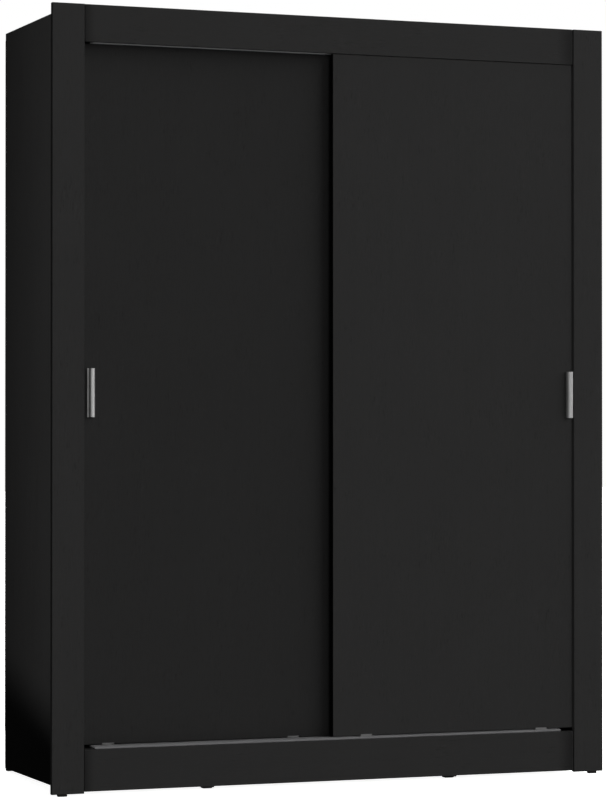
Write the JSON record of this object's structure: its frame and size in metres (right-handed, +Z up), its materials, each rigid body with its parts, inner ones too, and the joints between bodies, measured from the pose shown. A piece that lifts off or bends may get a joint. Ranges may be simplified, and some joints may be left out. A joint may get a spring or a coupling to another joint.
{
  "type": "wardrobe with sliding doors",
  "caption": "Tall black wardrobe with wide front posts, a fascia and plinth, sliding doors on a double track, metal edge pulls, a hanging bay and a shelf bay.",
  "frame": {"origin": "on the floor, under the centre of the footprint", "axes": "+Z up; the doors face -Y; +X to the right of someone facing the front"},
  "size_m": [1.6, 0.67, 2.076],
  "materials": {
    "black_board": "matt black laminate on particleboard, fine vertical texture",
    "back_hardboard": "black-faced hardboard, matt",
    "track_aluminium": "extruded, satin",
    "pull_metal": "fine brushed, satin",
    "plated_steel": "zinc plated",
    "rail_chrome": "polished",
    "roller_nylon": "moulded",
    "black_plastic": "moulded",
    "bumper_rubber": "soft, matt"
  },
  "bodies": {
    "carcass": {"left_side_panel": "black_board", "right_side_panel": "black_board", "left_front_post": "black_board", "right_front_post": "black_board", "top_panel": "black_board", "bottom_panel": "black_board", "track_carrier": "black_board", "top_fascia": "black_board", "front_plinth": "black_board", "rear_plinth": "black_board", "left_base_bearer": "black_board", "right_base_bearer": "black_board", "centre_divider": "black_board", "left_hat_shelf": "black_board", "left_shoe_shelf": "black_board", "right_hat_shelf": "black_board", "right_upper_shelf": "black_board", "right_middle_shelf": "black_board", "right_lower_shelf": "black_board", "left_back_panel": "back_hardboard", "right_back_panel": "back_hardboard", "back_cover_strip": "black_plastic", "rail_outer_socket": "black_plastic", "rail_inner_socket": "black_plastic", "left_post_glide": "black_plastic", "left_side_glide": "black_plastic", "left_bearer_front_glide": "black_plastic", "left_bearer_rear_glide": "black_plastic", "left_door_bumper": "bumper_rubber", "left_wall_bracket": "plated_steel", "right_post_glide": "black_plastic", "right_side_glide": "black_plastic", "right_bearer_front_glide": "black_plastic", "right_bearer_rear_glide": "black_plastic", "right_door_bumper": "bumper_rubber", "right_wall_bracket": "plated_steel", "bottom_track": "track_aluminium", "top_track": "track_aluminium", "hanging_rail": "rail_chrome"},
    "left_door": {"left_door_panel": "black_board", "left_door_pull": "pull_metal", "left_door_outer_housing": "plated_steel", "left_door_outer_axle": "plated_steel", "left_door_outer_guide": "roller_nylon", "left_door_inner_housing": "plated_steel", "left_door_inner_axle": "plated_steel", "left_door_inner_guide": "roller_nylon"},
    "right_door": {"right_door_panel": "black_board", "right_door_pull": "pull_metal", "right_door_outer_housing": "plated_steel", "right_door_outer_axle": "plated_steel", "right_door_outer_guide": "roller_nylon", "right_door_inner_housing": "plated_steel", "right_door_inner_axle": "plated_steel", "right_door_inner_guide": "roller_nylon"},
    "left_outer_wheel": {"left_door_outer_wheel": "roller_nylon"},
    "left_inner_wheel": {"left_door_inner_wheel": "roller_nylon"},
    "right_outer_wheel": {"right_door_outer_wheel": "roller_nylon"},
    "right_inner_wheel": {"right_door_inner_wheel": "roller_nylon"}
  },
  "joints": [
    {"name": "left_door_slide", "type": "slide", "parent": "carcass", "child": "left_door", "axis": [1, 0, 0], "range_m": [0, 0.718]},
    {"name": "left_outer_wheel_spin", "type": "hinge", "parent": "left_door", "child": "left_outer_wheel", "pos_m": [-0.6305, -0.28, 0.1376], "axis": [0, 1, 0], "continuous": true},
    {"name": "left_inner_wheel_spin", "type": "hinge", "parent": "left_door", "child": "left_inner_wheel", "pos_m": [-0.1065, -0.28, 0.1376], "axis": [0, 1, 0], "continuous": true},
    {"name": "right_door_slide", "type": "slide", "parent": "carcass", "child": "right_door", "axis": [1, 0, 0], "range_m": [-0.718, 0]},
    {"name": "right_outer_wheel_spin", "type": "hinge", "parent": "right_door", "child": "right_outer_wheel", "pos_m": [0.6195, -0.31, 0.1376], "axis": [0, 1, 0], "continuous": true},
    {"name": "right_inner_wheel_spin", "type": "hinge", "parent": "right_door", "child": "right_inner_wheel", "pos_m": [0.0945, -0.31, 0.1376], "axis": [0, 1, 0], "continuous": true}
  ],
  "couplings": [
    {"joint": "left_outer_wheel_spin", "follows": "left_door_slide", "rad_per_m": 90.909},
    {"joint": "left_inner_wheel_spin", "follows": "left_door_slide", "rad_per_m": 90.909},
    {"joint": "right_outer_wheel_spin", "follows": "right_door_slide", "rad_per_m": 90.909},
    {"joint": "right_inner_wheel_spin", "follows": "right_door_slide", "rad_per_m": 90.909}
  ]
}
